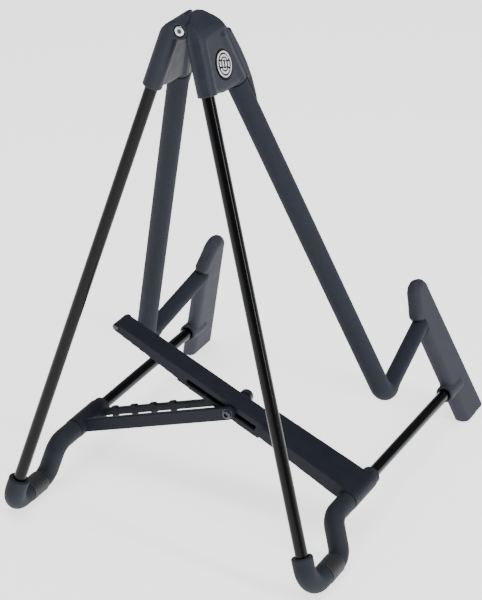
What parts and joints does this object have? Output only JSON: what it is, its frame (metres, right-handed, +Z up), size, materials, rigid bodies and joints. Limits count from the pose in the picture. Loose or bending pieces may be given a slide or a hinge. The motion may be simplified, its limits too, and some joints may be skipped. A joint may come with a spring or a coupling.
{
  "type": "folding guitar stand",
  "caption": "Folding A-frame guitar stand: two hinged side frames of bent rod with padded cradles, front posts and a latching brace.",
  "frame": {"origin": "on the floor, below the middle of the stand's length and width", "axes": "+X across the stand to its own right seen from the rear screw, +Y to the front where the guitar rests, +Z up"},
  "size_m": [0.2312, 0.2768, 0.3449],
  "materials": {
    "rod_steel": "gloss black enamel",
    "cradle_rubber": "matt",
    "post_rubber": "matt, finely grained",
    "foot_rubber": "matt",
    "housing_nylon": "satin",
    "brace_nylon": "satin, finely grained",
    "screw_steel": "polished",
    "pin_steel": "dark, turned",
    "badge_metal": "satin"
  },
  "bodies": {
    "right_half": {"housing_right": "housing_nylon", "leg_rod_right": "rod_steel", "cradle_core_right": "rod_steel", "cradle_cover_right": "cradle_rubber", "front_post_right": "post_rubber", "rear_foot_right": "foot_rubber", "floor_ring_right": "foot_rubber", "bend_sleeve_right": "foot_rubber", "badge": "badge_metal", "hinge_nut": "screw_steel", "hinge_washer": "screw_steel"},
    "left_half": {"housing_left": "housing_nylon", "leg_rod_left": "rod_steel", "cradle_core_left": "rod_steel", "cradle_cover_left": "cradle_rubber", "front_post_left": "post_rubber", "rear_foot_left": "foot_rubber", "floor_ring_left": "foot_rubber", "bend_sleeve_left": "foot_rubber", "hinge_screw": "screw_steel"},
    "beam": {"brace_hub": "brace_nylon", "brace_beam": "brace_nylon", "latch_pin": "pin_steel", "brace_bush": "brace_nylon"},
    "fork": {"brace_fork": "brace_nylon", "fork_screw_rear": "screw_steel", "fork_screw_front": "screw_steel", "fork_bush": "brace_nylon"}
  },
  "joints": [
    {"name": "fold", "type": "hinge", "parent": "right_half", "child": "left_half", "pos_m": [0, -0.0846, 0.33876], "axis": [0, 0.9996, -0.0279], "range_deg": [-32, 0]},
    {"name": "beam_turn", "type": "hinge", "parent": "right_half", "child": "beam", "pos_m": [0.10079, -0.04769, 0.03029], "axis": [0, 0.9996, -0.0279], "range_deg": [0, 56.2]},
    {"name": "fork_turn", "type": "hinge", "parent": "left_half", "child": "fork", "pos_m": [-0.10079, -0.04769, 0.03029], "axis": [0, 0.9996, -0.0279], "range_deg": [-38.9, 0]}
  ],
  "couplings": [
    {"joint": "beam_turn", "follows": "fold", "ratio": -1.74},
    {"joint": "fork_turn", "follows": "fold", "ratio": 1.2}
  ]
}
